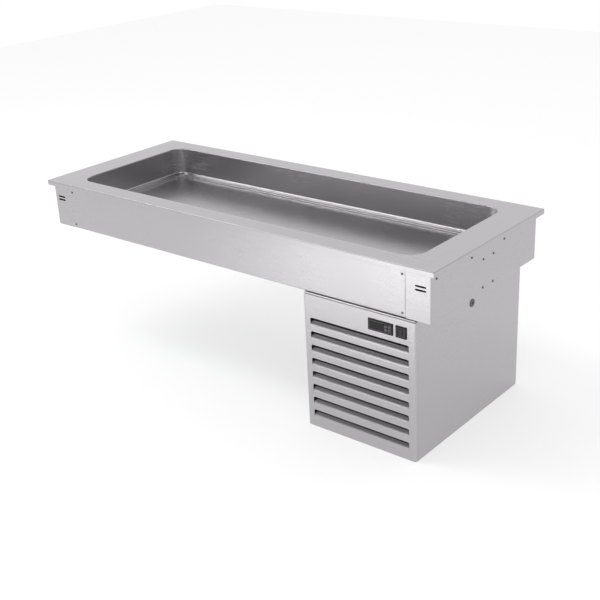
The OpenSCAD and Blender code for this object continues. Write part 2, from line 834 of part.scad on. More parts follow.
module front_grille() {
    slot_zs = [for (i = [0 : louvres - 1]) grille_z - louvre_top - louvre_h - i * louvre_pitch];
    color("gainsboro") {
        difference() {
            linear_extrude(grille_z) grille_plan(0);
            translate([0, 0, grille_t]) linear_extrude(grille_z - 2 * grille_t) grille_plan(grille_t);
            block(cab_x1 + 11, cab_x2 - 11, cab_y1 + grille_t + 1, grille_back + 1, 11, grille_z - 11);
            for (z = slot_zs) louvre_slot(z);
            block(ctl_x - ctl_hole_w / 2, ctl_x + ctl_hole_w / 2, cab_y1 - 1, cab_y1 + 3,
                ctl_z - ctl_hole_h / 2, ctl_z + ctl_hole_h / 2);
            block(switch_x - switch_hole_w / 2, switch_x + switch_hole_w / 2, cab_y1 - 1, cab_y1 + 3,
                ctl_z - switch_hole_h / 2, ctl_z + switch_hole_h / 2);
        }
        for (z = slot_zs) louvre_tongue(z);
    }
}

// Controls
module control_case() {
    color("dimgray") translate([ctl_x, 0, ctl_z]) difference() {
        union() {
            block(-ctl_w / 2, ctl_w / 2, ctl_face, cab_y1, -ctl_h / 2, ctl_h / 2);
            block(seat - ctl_hole_w / 2, ctl_hole_w / 2 - seat, cab_y1, cab_y1 + ctl_depth,
                seat - ctl_hole_h / 2, ctl_hole_h / 2 - seat);
        }
        block(-ctl_w / 2 + 8, button_x - 9, ctl_face - 1, ctl_face + 1.5, -ctl_h / 2 + 7, ctl_h / 2 - 7);
        for (i = [0, 1], k = [0, 1])
            translate([button_x + i * button_step_x, ctl_face, (k - 0.5) * button_step_z])
                cube([button_w + 2 * button_gap, 12, button_h + 2 * button_gap], center = true);
    }
}

module display_window() {
    color("black") translate([ctl_x, 0, ctl_z])
        block(-ctl_w / 2 + 8, button_x - 9, ctl_face + 0.3, ctl_face + 1.5, -ctl_h / 2 + 7, ctl_h / 2 - 7);
}

module button(i, k) {
    place = [ctl_x + button_x + i * button_step_x, ctl_face, ctl_z + (k - 0.5) * button_step_z];
    color("gray") translate(place) rotate([90, 0, 0]) linear_extrude(6.1, center = true)
        round_rect(button_w, button_h, 1.5);
}

module button_set() translate([0, 1.6, 0]) button(0, 1);

module button_up() translate([0, 1.6, 0]) button(1, 1);

module button_light() translate([0, 1.6, 0]) button(0, 0);

module button_down() translate([0, 1.6, 0]) button(1, 0);

module switch_frame() {
    color("dimgray") translate([switch_x, 0, ctl_z]) difference() {
        union() {
            block(-switch_w / 2, switch_w / 2, ctl_face, cab_y1, -ctl_h / 2, ctl_h / 2);
            block(seat - switch_hole_w / 2, switch_hole_w / 2 - seat, cab_y1, cab_y1 + 30,
                seat - switch_hole_h / 2, switch_hole_h / 2 - seat);
            for (x = [-8, 0, 8]) block(x - 2.4, x + 2.4, cab_y1 + 30, cab_y1 + 38, -0.5, 0.5);
        }
        block(-rocker_w / 2 - 0.4, rocker_w / 2 + 0.4, ctl_face - 1, cab_y1 + 16, -rocker_h / 2 - 0.8,
            rocker_h / 2 + 0.8);
        translate([0, rocker_axis_y, 0]) rotate([0, 90, 0])
            cylinder(h = rocker_w + 5, r = rocker_pin_r + run_gap, center = true);
    }
}

// The rocker stands tilted with its lower half pressed in: off
module switch_rocker() {
    tilt = 7;
    color("black") translate([switch_x, rocker_axis_y, ctl_z]) {
        rotate([tilt, 0, 0]) difference() {
            union() {
                rotate([0, 90, 0]) cylinder(h = rocker_w, r = 5, center = true);
                block(-rocker_w / 2, rocker_w / 2, -8.5, 0, -rocker_h / 2 + 1, rocker_h / 2 - 1);
            }
            translate([0, -39.6, 0]) rotate([0, 90, 0]) cylinder(h = rocker_w + 2, r = 33, center = true);
        }
        rotate([0, 90, 0]) cylinder(h = rocker_w + 4, r = rocker_pin_r, center = true);
    }
}

// Compressor
module compressor_shell() {
    color("black") translate([comp_x, comp_y, comp_z]) {
        rotate_extrude() intersection() {
            translate([0, comp_h / 2]) round_rect(2 * comp_r, comp_h, 40);
            square([comp_r, comp_h]);
        }
        translate([0, 0, comp_h * 0.45]) cylinder(h = 6, r = comp_r + 3);
        for (a = [45 : 90 : 315]) rotate([0, 0, a]) block(50, bolt_inset * sqrt(2) - 12, -9, 9, -10, 10);
    }
}

module plate_bolts(r, h) {
    for (x = [-1, 1], y = [-1, 1])
        translate([comp_x + x * bolt_inset, comp_y + y * bolt_inset, 0]) cylinder(h = h, r = r);
}

module compressor_plate() {
    color("black") difference() {
        block(comp_x - plate_half, comp_x + plate_half, comp_y - plate_half, comp_y + plate_half,
            plate_z - 2, plate_z);
        plate_bolts(5, 60);
    }
}

module compressor_feet() {
    color("dimgray") difference() {
        for (x = [-1, 1], y = [-1, 1]) translate([comp_x + x * bolt_inset, comp_y + y * bolt_inset, 0]) {
            translate([0, 0, base_z]) cylinder(h = plate_z - 2 - base_z, r = 10);
            translate([0, 0, plate_z - 2]) cylinder(h = 2, r = 4.9);
            translate([0, 0, plate_z]) cylinder(h = 3, r = 9);
        }
        plate_bolts(3.1, 60);
    }
}

module compressor_bolts() {
    color("silver") for (x = [-1, 1], y = [-1, 1])
        translate([comp_x + x * bolt_inset, comp_y + y * bolt_inset, 0]) {
            translate([0, 0, base_z]) cylinder(h = plate_z + 3, r = 3);
            translate([0, 0, plate_z + 3]) cylinder(h = 4, r = 6, $fn = 6);
        }
}

module compressor_terminal_cover() {
    color("dimgray") difference() {
        block(comp_x + comp_r - 20, comp_x + comp_r + 26, comp_y - 30, comp_y + 30,
            comp_z + 60, comp_z + 125);
        translate([comp_x, comp_y, comp_z]) cylinder(h = comp_h, r = comp_r + 3.3);
    }
}

// Condenser and fan
function row_z(i) = fins_z + fins_h / 2 + (i - (condenser_rows - 1) / 2) * row_pitch;

module condenser_fins() {
    count = floor((fins_w - 4) / fin_pitch / 2);
    color("silver") difference() {
        union() {
            for (i = [-count : count]) block(cab_x + i * fin_pitch - 0.4, cab_x + i * fin_pitch + 0.4,
                fins_y, fins_y + fins_d, fins_z, fins_z + fins_h);
            block(cab_x - fins_w / 2, cab_x + fins_w / 2, fins_y, fins_y + fins_d, fins_z - 1.5, fins_z);
            block(cab_x - fins_w / 2, cab_x + fins_w / 2, fins_y, fins_y + fins_d,
                fins_z + fins_h, fins_z + fins_h + 1.5);
            for (x = [-1, 1]) translate([cab_x + x * (fins_w / 2 - 0.75), 0, 0])
                block(-0.75, 0.75, fins_y, fins_y + fins_d, base_z, fins_z + fins_h + 1.5);
        }
        for (i = [0 : condenser_rows - 1]) translate([cab_x, fins_y + fins_d / 2, row_z(i)])
            rotate([0, 90, 0]) cylinder(h = fins_w + 4, r = tube_r + 0.1, center = true);
    }
}

module condenser_tubes() {
    x = fins_w / 2 + bend_reach;
    y = fins_y + fins_d / 2;
    last = condenser_rows - 1;
    end = x + line_r + 2;
    runs = [for (i = [0 : last]) each i % 2 == 0
        ? [[cab_x - (i == 0 ? end : x), y, row_z(i)], [cab_x + x, y, row_z(i)]]
        : [[cab_x + x, y, row_z(i)], [cab_x - (i == last ? end : x), y, row_z(i)]]];
    color("peru") pipe_run(runs, tube_r, 12);
}

module fan_shroud() {
    color("dimgray") difference() {
        union() {
            block(cab_x - fins_w / 2, cab_x + fins_w / 2, shroud_y, shroud_y + shroud_t,
                base_z, fins_z + fins_h);
            translate([fan_x, shroud_y, fan_z]) rotate([-90, 0, 0])
                cylinder(h = ring_d, r = fan_r + fan_gap + shroud_t);
        }
        translate([fan_x, shroud_y - 1, fan_z]) rotate([-90, 0, 0])
            cylinder(h = ring_d + 2, r = fan_r + fan_gap);
    }
}

module fan_bracket() {
    r = fan_r + fan_gap + shroud_t;
    color("dimgray") translate([fan_x, 0, fan_z]) difference() {
        union() {
            for (a = [45 : 90 : 315]) rotate([0, a, 0]) {
                block(motor_r - 3, r + 8, motor_y - 2, motor_y, -7, 7);
                block(r + 6, r + 8, shroud_y + shroud_t, motor_y, -7, 7);
            }
            translate([0, motor_y - 2, 0]) rotate([-90, 0, 0]) cylinder(h = 2, r = motor_r);
        }
        translate([0, motor_y - 4, 0]) rotate([-90, 0, 0]) cylinder(h = 8, r = 14);
    }
}

module fan_motor() {
    color("silver") translate([fan_x, motor_y, fan_z]) rotate([-90, 0, 0]) difference() {
        union() {
            cylinder(h = motor_l, r = motor_r);
            translate([0, 0, -10]) cylinder(h = 12, r = 12);
        }
        translate([0, 0, -12]) cylinder(h = 42 + run_gap, r = shaft_r + run_gap);
    }
}

module fan_shaft() {
    color("lightgray") translate([fan_x, blade_y - 8, fan_z]) rotate([-90, 0, 0])
        cylinder(h = motor_y + 28 - blade_y + 8, r = shaft_r);
}

module fan_blade() {
    color("dimgray") translate([fan_x, blade_y, fan_z]) rotate([-90, 0, 0]) difference() {
        union() {
            translate([0, 0, -6]) cylinder(h = 14, r = 24);
            intersection() {
                for (a = [0 : 72 : 288]) rotate([0, 0, a]) rotate([24, 0, 0])
                    translate([20, -26, -0.8]) cube([fan_r, 52, 1.6]);
                translate([0, 0, -20]) cylinder(h = 40, r = fan_r);
            }
        }
        translate([0, 0, -20]) cylinder(h = 40, r = shaft_r);
    }
}

// Refrigerant lines
module filter_drier() {
    color("peru") translate([drier_x, drier_y, drier_z]) rotate_extrude() intersection() {
        union() {
            translate([0, drier_l / 2]) round_rect(24, drier_l, 9);
            translate([0, -10]) square([line_r + 1, drier_l + 20]);
        }
        translate([0, -20]) square([20, drier_l + 40]);
    }
}

module discharge_line() {
    y = fins_y + fins_d / 2;
    x = cab_x - fins_w / 2 - bend_reach;
    top = row_z(condenser_rows - 1);
    out = comp_y - comp_r - line_reach + 10;
    color("peru") pipe_run([[comp_x, comp_y - comp_r, comp_z + 120], [comp_x, out, comp_z + 120],
        [comp_x, out, top + line_reach], [x, out, top + line_reach], [x, y, top + line_reach],
        [x, y, top + tube_r]], line_r, 10);
}

module liquid_line() {
    y = fins_y + fins_d / 2;
    x = cab_x - fins_w / 2 - bend_reach;
    color("peru") pipe_run([[x, y, row_z(0) - tube_r], [x, y, drier_z - line_reach],
        [x, drier_y, drier_z - line_reach], [drier_x, drier_y, drier_z - line_reach],
        [drier_x, drier_y, drier_z - 10]], line_r, 8);
}

module capillary_tube() {
    top = drier_z + drier_l + 10;
    color("peru") pipe_run([[drier_x, drier_y, top], [drier_x, drier_y, line_top - 1.5 * line_reach],
        [drier_x, coil_y(0), line_top - 1.5 * line_reach], [coil_x2, coil_y(0), line_top - 1.5 * line_reach],
        [coil_x2, coil_y(0), line_top]], 1.6, 8);
}

module suction_line() {
    color("peru") pipe_run([[coil_x2, coil_y(5), line_top], [coil_x2, coil_y(5), line_top - line_reach],
        [coil_x2, comp_y - 10, line_top - line_reach], [comp_x + 30, comp_y - 10, line_top - line_reach],
        [comp_x + 30, comp_y - 10, comp_z + comp_h]], tube_r, 12);
}

top_flange();
well_walls();
well_corners();
well_floor();
drain_strainer();
drain_washer();
drain_tail();
drain_nut();
valve_body();
valve_seats();
valve_ball();
valve_stem();
valve_lever();
evaporator_coil();
temperature_probe();
foam_floor();
foam_walls();
insulation_shell();
front_panel();
back_panel();
left_end_panel();
right_end_panel();
panel_posts();
end_hangers();
panel_screws();
end_screws();
terminal_box();
terminal_box_lid();
terminal_box_screws();
cabinet_left_side();
cabinet_right_side();
cabinet_back();
cabinet_base();
cabinet_nuts();
cord_grommet();
front_grille();
control_case();
display_window();
button_set();
button_up();
button_light();
button_down();
switch_frame();
switch_rocker();
compressor_shell();
compressor_plate();
compressor_feet();
compressor_bolts();
compressor_terminal_cover();
condenser_fins();
condenser_tubes();
fan_shroud();
fan_bracket();
fan_motor();
fan_shaft();
fan_blade();
filter_drier();
discharge_line();
liquid_line();
capillary_tube();
suction_line();
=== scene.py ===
import bpy
import json
import math
from mathutils import Matrix, Vector

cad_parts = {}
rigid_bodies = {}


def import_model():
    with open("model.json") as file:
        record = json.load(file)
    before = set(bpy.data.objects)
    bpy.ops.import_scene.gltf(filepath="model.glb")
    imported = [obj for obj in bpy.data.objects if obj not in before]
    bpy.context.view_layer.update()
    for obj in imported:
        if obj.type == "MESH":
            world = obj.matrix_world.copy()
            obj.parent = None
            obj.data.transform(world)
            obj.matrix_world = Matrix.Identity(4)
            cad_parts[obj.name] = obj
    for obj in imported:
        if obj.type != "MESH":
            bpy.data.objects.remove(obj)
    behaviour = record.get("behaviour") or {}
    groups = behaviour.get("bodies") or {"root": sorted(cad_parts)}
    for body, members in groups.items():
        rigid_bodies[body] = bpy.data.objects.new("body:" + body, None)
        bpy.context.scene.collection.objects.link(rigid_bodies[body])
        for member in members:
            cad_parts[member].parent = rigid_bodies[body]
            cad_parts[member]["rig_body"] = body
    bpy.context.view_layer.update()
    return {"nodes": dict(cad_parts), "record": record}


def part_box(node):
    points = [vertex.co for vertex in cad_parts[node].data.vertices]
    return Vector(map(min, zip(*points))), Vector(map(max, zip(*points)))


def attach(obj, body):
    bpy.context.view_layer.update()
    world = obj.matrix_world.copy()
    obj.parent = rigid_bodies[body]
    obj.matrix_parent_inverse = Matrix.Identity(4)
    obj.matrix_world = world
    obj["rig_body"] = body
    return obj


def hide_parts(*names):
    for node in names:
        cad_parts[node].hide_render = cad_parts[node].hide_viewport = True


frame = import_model()
mm = 0.001
print("frame loaded:", len(frame["nodes"]), "nodes")


# ---- camera, fitted to the corners of the flange, the casing and the cabinet ----
photoView = {
    "place": (2.3507, -2.6695, 1.7799),
    "yaw": 40.38,
    "pitch": 23.379,
    "roll": -2.83,
    "lens": 63.43,
    "sensor": 36,
    "reach": 60,  # how far it sees
}


def placeCamera():
    yaw, pitch, roll = (math.radians(photoView[k]) for k in ("yaw", "pitch", "roll"))
    ahead = Vector((-math.sin(yaw) * math.cos(pitch), math.cos(yaw) * math.cos(pitch), -math.sin(pitch)))
    right = Vector((math.cos(yaw), math.sin(yaw), 0))
    up = right.cross(ahead)
    sideways = math.cos(roll) * right + math.sin(roll) * up
    upwards = -math.sin(roll) * right + math.cos(roll) * up
    turn = Matrix((sideways, upwards, -ahead)).transposed().to_4x4()
    data = bpy.data.cameras.new("photoCamera")
    data.lens = photoView["lens"]
    data.sensor_width = photoView["sensor"]
    data.clip_end = photoView["reach"]
    camera = bpy.data.objects.new("photoCamera", data)
    camera.matrix_world = Matrix.Translation(photoView["place"]) @ turn
    bpy.context.scene.collection.objects.link(camera)
    bpy.context.scene.camera = camera


placeCamera()
print("camera placed")


# ---- helpers for making pieces ----
tuning = {
    "weld": 0.005 * mm,  # vertices nearer than this are one
    "flatWithin": 0.4,  # degrees between triangles that make one flat face
    "touch": 0.01 * mm,  # a place this near a face's edge lies on it
    "sharpFrom": 50,  # degrees from which an edge is rounded, and shaded as an edge
    "flatWeight": 90,
    "edgeParts": 2,
    "foldParts": 4,
}


def takeUp(*pieces):  # selects these and nothing else
    bpy.ops.object.select_all(action="DESELECT")
    for piece in pieces:
        piece.select_set(True)
    bpy.context.view_layer.objects.active = pieces[0]


def settle(piece, name):  # puts the object at the origin, with its place in its mesh
    takeUp(piece)
    bpy.ops.object.transform_apply(location=True, rotation=True, scale=True)
    piece.name = name
    piece.data.name = name
    return piece


def smooth(piece, angle=tuning["sharpFrom"]):  # large faces stay flat, their rounded edges take up the turn
    takeUp(piece)
    bpy.ops.object.shade_smooth_by_angle(angle=math.radians(angle))
    weigh = piece.modifiers.new("flatFaces", "WEIGHTED_NORMAL")
    weigh.keep_sharp = True
    weigh.weight = tuning["flatWeight"]
    applyAll(piece)


def applyAll(piece):
    takeUp(piece)
    for modifier in list(piece.modifiers):
        bpy.ops.object.modifier_apply(modifier=modifier.name)


def roundEdges(piece, width, segments=tuning["edgeParts"]):
    bevel = piece.modifiers.new("edges", "BEVEL")
    bevel.width = width
    bevel.segments = segments
    bevel.limit_method = "ANGLE"
    bevel.angle_limit = math.radians(tuning["sharpFrom"])
    applyAll(piece)


def cutWith(piece, cutter, operation="DIFFERENCE"):  # INTERSECT keeps only what lies in the cutter
    cut = piece.modifiers.new("cut", "BOOLEAN")
    cut.operation = operation
    cut.solver = "EXACT"
    cut.object = cutter
    applyAll(piece)
    bpy.data.objects.remove(cutter)


def mergeFaces(piece):  # welds loose triangles and joins those that lie flat together
    takeUp(piece)
    bpy.ops.object.mode_set(mode="EDIT")
    bpy.ops.mesh.select_all(action="SELECT")
    bpy.ops.mesh.remove_doubles(threshold=tuning["weld"])
    bpy.ops.mesh.customdata_custom_splitnormals_clear()
    bpy.ops.mesh.dissolve_limited(angle_limit=math.radians(tuning["flatWithin"]))
    bpy.ops.object.mode_set(mode="OBJECT")


def copyOfNode(node, name):
    piece = bpy.data.objects.new(name, frame["nodes"][node].data.copy())
    piece.data.name = name
    bpy.context.scene.collection.objects.link(piece)
    mergeFaces(piece)
    return piece


def bodyOf(node):
    return frame["nodes"][node]["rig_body"]


def paint(piece, material):
    piece.data.materials.clear()
    piece.data.materials.append(material)


# ---- shader groups ----
def startGroup(name, inputs, outputs):
    tree = bpy.data.node_groups.new(name, "ShaderNodeTree")
    for label, value in inputs:
        socket = tree.interface.new_socket(label, in_out="INPUT", socket_type="NodeSocketFloat")
        socket.default_value = value
    for label in outputs:
        tree.interface.new_socket(label, in_out="OUTPUT", socket_type="NodeSocketFloat")
    return tree, tree.nodes.new("NodeGroupInput"), tree.nodes.new("NodeGroupOutput")


def addNode(tree, kind, **settings):
    node = tree.nodes.new(kind)
    for key, value in settings.items():
        setattr(node, key, value)
    return node


def feed(tree, target, value):
    if isinstance(value, (int, float)):
        target.default_value = value
    else:
        tree.links.new(value, target)


def sumOf(tree, operation, a, b=0.0, c=0.0):
    node = addNode(tree, "ShaderNodeMath", operation=operation)
    for socket, value in zip(node.inputs, (a, b, c)):
        feed(tree, socket, value)
    return node.outputs[0]


def blendOf(tree, share, a, b):
    node = addNode(tree, "ShaderNodeMix", data_type="FLOAT")
    feed(tree, node.inputs["Factor"], share)
    feed(tree, node.inputs["A"], a)
    feed(tree, node.inputs["B"], b)
    return node.outputs["Result"]


def rangeOf(tree, value, low, high, toLow, toHigh):
    node = addNode(tree, "ShaderNodeMapRange")
    feed(tree, node.inputs["Value"], value)
    for label, number in (("From Min", low), ("From Max", high), ("To Min", toLow), ("To Max", toHigh)):
        feed(tree, node.inputs[label], number)
    return node.outputs["Result"]


def noiseOf(tree, vector, scale, detail=2.0, rough=0.5):
    node = addNode(tree, "ShaderNodeTexNoise")
    tree.links.new(vector, node.inputs["Vector"])
    feed(tree, node.inputs["Scale"], scale)
    node.inputs["Detail"].default_value = detail
    node.inputs["Roughness"].default_value = rough
    return node.outputs["Fac"]


brushed = {
    "across": 900.0, "along": 7.0,  # how close the streaks lie, and how short they are
    "lyingFrom": 0.6,  # how level a face is where it starts to count as lying
    "streakDetail": 3.0, "bandDetail": 2.0,
    "bandShare": 0.04,  # how many bands there are to a streak
    "cloudScale": 3.2, "cloudDetail": 3.0, "cloudRough": 0.55,
    "slowShare": 0.22, "streakShare": 0.56, "toneRange": (0.36, 0.64),  # how grain makes up the tone
    "roughRange": (0.3, 0.7), "cloudSpread": 0.02,
    "bendPeak": 4.0,  # brings lying times not lying up to 1 halfway round a bend
    "bendLeft": 0.2,  # what is left of the colour halfway round a bend, painted shade there
    "bumpDepth": 0.02 * mm,
}
pitted = {
    "grain": 1800.0, "pitDetail": 2.0, "mottleScale": 38.0, "mottleDetail": 3.0,
    "roughRange": (0.3, 0.7), "roughSpread": 0.05,
}


def brushedGroup():  # grain that runs along the sheet, level on upright faces and lengthwise on lying ones
    inputs = [("Across", brushed["across"]), ("Along", brushed["along"])]
    tree, given, out = startGroup("brushedGrain", inputs, ["Streaks", "Bands", "Clouds", "Lying"])
    place = addNode(tree, "ShaderNodeTexCoord").outputs["Object"]
    xyz = addNode(tree, "ShaderNodeSeparateXYZ")
    tree.links.new(place, xyz.inputs[0])
    facing = addNode(tree, "ShaderNodeSeparateXYZ")
    tree.links.new(addNode(tree, "ShaderNodeNewGeometry").outputs["True Normal"], facing.inputs[0])
    lying = rangeOf(tree, sumOf(tree, "ABSOLUTE", facing.outputs["Z"]), brushed["lyingFrom"], 1.0, 0.0, 1.0)
    along = blendOf(tree, lying, sumOf(tree, "ADD", xyz.outputs["X"], xyz.outputs["Y"]), xyz.outputs["X"])
    across = blendOf(tree, lying, xyz.outputs["Z"], xyz.outputs["Y"])
    for label, thin, detail in (("Streaks", 1.0, brushed["streakDetail"]),
                                ("Bands", brushed["bandShare"], brushed["bandDetail"])):
        lines = addNode(tree, "ShaderNodeCombineXYZ")
        tree.links.new(sumOf(tree, "MULTIPLY", along, given.outputs["Along"]), lines.inputs["X"])
        wide = sumOf(tree, "MULTIPLY", across, sumOf(tree, "MULTIPLY", given.outputs["Across"], thin))
        tree.links.new(wide, lines.inputs["Y"])
        tree.links.new(noiseOf(tree, lines.outputs[0], 1.0, detail), out.inputs[label])
    clouds = noiseOf(tree, place, brushed["cloudScale"], brushed["cloudDetail"], brushed["cloudRough"])
    tree.links.new(clouds, out.inputs["Clouds"])
    tree.links.new(lying, out.inputs["Lying"])
    return tree


def mouldedGroup():  # fine even grain of moulded plastic, rubber and paint, with slow mottling
    tree, given, out = startGroup("mouldedGrain", [("Grain", pitted["grain"])], ["Pits", "Mottle"])
    place = addNode(tree, "ShaderNodeTexCoord").outputs["Object"]
    tree.links.new(noiseOf(tree, place, given.outputs["Grain"], pitted["pitDetail"]), out.inputs["Pits"])
    tree.links.new(noiseOf(tree, place, pitted["mottleScale"], pitted["mottleDetail"]), out.inputs["Mottle"])
    return tree


grainGroup = brushedGroup()
pitGroup = mouldedGroup()


# ---- finishes ----
def startMaterial(name, metallic, specular=0.5):
    material = bpy.data.materials.new(name)
    material.use_nodes = True
    tree = material.node_tree
    shader = tree.nodes["Principled BSDF"]
    shader.inputs["Metallic"].default_value = metallic
    shader.inputs["Specular IOR Level"].default_value = specular
    return material, tree, shader


def groupNode(tree, group, **values):
    node = addNode(tree, "ShaderNodeGroup", node_tree=group)
    for label, value in values.items():
        node.inputs[label].default_value = value
    return node


def colourBetween(tree, shader, share, dark, light):
    mix = addNode(tree, "ShaderNodeMix", data_type="RGBA")
    tree.links.new(share, mix.inputs["Factor"])
    mix.inputs["A"].default_value = (*dark, 1)
    mix.inputs["B"].default_value = (*light, 1)
    tree.links.new(mix.outputs["Result"], shader.inputs["Base Color"])
    return mix


def bumpFrom(tree, shader, height, depth, strength):
    bump = addNode(tree, "ShaderNodeBump")
    bump.inputs["Strength"].default_value = strength
    bump.inputs["Distance"].default_value = depth
    tree.links.new(height, bump.inputs["Height"])
    tree.links.new(bump.outputs["Normal"], shader.inputs["Normal"])


def shadesOf(colour, contrast):  # a darker and a lighter shade of it
    return [c * (1 - contrast) for c in colour], [min(1, c * (1 + contrast)) for c in colour]


def brushedMetal(name, colour, contrast, smoothest, roughest, across=brushed["across"],
                 along=brushed["along"], strength=0.04, levelShade=0.0):
    material, tree, shader = startMaterial(name, 1.0)
    grain = groupNode(tree, grainGroup, Across=across, Along=along)
    slow = sumOf(tree, "ADD", grain.outputs["Bands"], grain.outputs["Clouds"])
    quick = sumOf(tree, "MULTIPLY", grain.outputs["Streaks"], brushed["streakShare"])
    share = sumOf(tree, "MULTIPLY_ADD", slow, brushed["slowShare"], quick)
    share = rangeOf(tree, share, *brushed["toneRange"], 0.0, 1.0)
    mix = colourBetween(tree, shader, share, *shadesOf(colour, contrast))
    if levelShade:  # painted shade: faces that lie level are darkened in colour to stand in for the darker reflections they show, and the bends are darkened to hold back the edge lamp's highlight on them
        lying = grain.outputs["Lying"]
        shadedBend = sumOf(tree, "MULTIPLY", sumOf(tree, "SUBTRACT", 1.0, lying),
                     sumOf(tree, "MULTIPLY", lying, brushed["bendPeak"]))
        tone = mix.outputs["Result"]
        for where, left in ((lying, 1 - levelShade), (shadedBend, brushed["bendLeft"])):
            paintedShade = addNode(tree, "ShaderNodeMix", data_type="RGBA", blend_type="MULTIPLY")
            tree.links.new(where, paintedShade.inputs["Factor"])
            tree.links.new(tone, paintedShade.inputs["A"])
            paintedShade.inputs["B"].default_value = (left, left, left, 1)
            tone = paintedShade.outputs["Result"]
        tree.links.new(tone, shader.inputs["Base Color"])
    rough = rangeOf(tree, grain.outputs["Streaks"], *brushed["roughRange"], smoothest, roughest)
    cloudy = rangeOf(tree, grain.outputs["Clouds"], *brushed["roughRange"],
                     -brushed["cloudSpread"], brushed["cloudSpread"])
    tree.links.new(sumOf(tree, "ADD", rough, cloudy), shader.inputs["Roughness"])
    bumpFrom(tree, shader, grain.outputs["Streaks"], brushed["bumpDepth"], strength)
    return material


def moulded(name, colour, rough, grain=pitted["grain"], depth=0.03 * mm, strength=0.3, contrast=0.14,
            metallic=0.0, specular=0.35):
    material, tree, shader = startMaterial(name, metallic, specular)
    pits = groupNode(tree, pitGroup, Grain=grain)
    colourBetween(tree, shader, pits.outputs["Mottle"], *shadesOf(colour, contrast))
    spread = pitted["roughSpread"]
    roughness = rangeOf(tree, pits.outputs["Mottle"], *pitted["roughRange"], rough - spread, rough + spread)
    tree.links.new(roughness, shader.inputs["Roughness"])
    bumpFrom(tree, shader, pits.outputs["Pits"], depth, strength)
    return material


spangle = {
    "metallic": 0.85, "scale": 90.0, "dark": (0.42, 0.43, 0.45), "light": (0.62, 0.63, 0.64),
    "smoothest": 0.34, "roughest": 0.52, "bumpDepth": 0.02 * mm, "strength": 0.15,
}


def galvanisedSheet():  # zinc flakes of slightly different tones
    material, tree, shader = startMaterial("galvanisedSheet", spangle["metallic"])
    place = addNode(tree, "ShaderNodeTexCoord").outputs["Object"]
    flakes = addNode(tree, "ShaderNodeTexVoronoi")
    flakes.inputs["Scale"].default_value = spangle["scale"]
    tree.links.new(place, flakes.inputs["Vector"])
    tone = addNode(tree, "ShaderNodeSeparateColor")
    tree.links.new(flakes.outputs["Color"], tone.inputs[0])
    colourBetween(tree, shader, tone.outputs["Red"], spangle["dark"], spangle["light"])
    rough = rangeOf(tree, tone.outputs["Green"], 0.0, 1.0, spangle["smoothest"], spangle["roughest"])
    tree.links.new(rough, shader.inputs["Roughness"])
    bumpFrom(tree, shader, tone.outputs["Blue"], spangle["bumpDepth"], spangle["strength"])
    return material


finish = {
    "steelSheet": brushedMetal("steelSheet", (0.47, 0.457, 0.47), 0.008, 0.27, 0.31, strength=0.014),
    # the well's sheet gets painted shade on its level faces and on its bends
    "wellSheet": brushedMetal("wellSheet", (0.7, 0.68, 0.7), 0.008, 0.23, 0.27, strength=0.02, levelShade=0.32),
    "galvanised": galvanisedSheet(),
    "screwSteel": brushedMetal("screwSteel", (0.16, 0.16, 0.165), 0.06, 0.32, 0.42, across=4000.0,
                               along=300.0),
    "polished": brushedMetal("polished", (0.7, 0.7, 0.72), 0.02, 0.10, 0.16, across=3000.0, along=60.0,
                             strength=0.05),
    "finStock": brushedMetal("finStock", (0.7, 0.71, 0.73), 0.05, 0.30, 0.42, across=2200.0, along=30.0),
    "castAlloy": moulded("castAlloy", (0.5, 0.51, 0.52), 0.5, grain=900.0, depth=0.08 * mm, strength=0.4,
                         contrast=0.1, metallic=0.85),
    "forgedBrass": moulded("forgedBrass", (0.66, 0.48, 0.2), 0.32, grain=700.0, depth=0.05 * mm, strength=0.3,
                           contrast=0.12, metallic=1.0),
    "copperTube": brushedMetal("copperTube", (0.72, 0.38, 0.24), 0.12, 0.24, 0.40, across=1500.0, along=40.0),
    "redDip": moulded("redDip", (0.45, 0.035, 0.03), 0.38),
    "blackEnamel": moulded("blackEnamel", (0.018, 0.018, 0.019), 0.28, grain=500.0, depth=0.05 * mm,
                           strength=0.2),
    "rubber": moulded("rubber", (0.035, 0.034, 0.035), 0.75, grain=1500.0, depth=0.05 * mm, strength=0.5),
    "foam": moulded("foam", (0.62, 0.5, 0.24), 0.9, grain=700.0, depth=0.4 * mm, strength=0.8),
    "palePlastic": moulded("palePlastic", (0.72, 0.72, 0.7), 0.5),
    "darkPlastic": moulded("darkPlastic", (0.022, 0.021, 0.023), 0.5, specular=0.18),
    "blackPlastic": moulded("blackPlastic", (0.02, 0.019, 0.021), 0.3, grain=2400.0),
    "buttonPlastic": moulded("buttonPlastic", (0.13, 0.125, 0.13), 0.5),
    # the lip's lighter tone is a painted highlight along the raised line
    "lipPlastic": moulded("lipPlastic", (0.12, 0.115, 0.12), 0.45),
    "greyRubber": moulded("greyRubber", (0.2, 0.196, 0.2), 0.6),
    "display": moulded("display", (0.01, 0.009, 0.01), 0.2, grain=200.0, depth=0.01 * mm, strength=0.05,
                       specular=0.25),
}
print("finishes mixed:", len(finish))

# the record's slots, and the finish that each gets
finishOfSlot = {
    "stainless": "steelSheet", "stainless_well": "wellSheet", "galvanised": "galvanised",
    "screw_steel": "screwSteel", "chrome": "polished",
    "aluminium": "finStock", "cast_motor": "castAlloy", "brass": "forgedBrass", "copper": "copperTube",
    "red_paint": "redDip", "black_paint": "blackEnamel", "rubber": "rubber", "foam": "foam",
    "white_plastic": "palePlastic", "dark_plastic": "darkPlastic", "black_plastic": "blackPlastic",
    "button_plastic": "buttonPlastic", "display": "display",
}
slotOfNode = {row["node"]: row["material_slot"] for row in frame["record"]["subparts"]}
for node, slotName in slotOfNode.items():
    paint(frame["nodes"][node], finish[finishOfSlot[slotName]])
paint(frame["nodes"]["cord_grommet"], finish["greyRubber"])


def dress(piece, node, *others):  # the piece takes over from a node, with its finish and its body
    slotName = slotOfNode[node]
    paint(piece, finish[finishOfSlot[slotName]])
    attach(piece, bodyOf(node))
    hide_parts(node, *others)


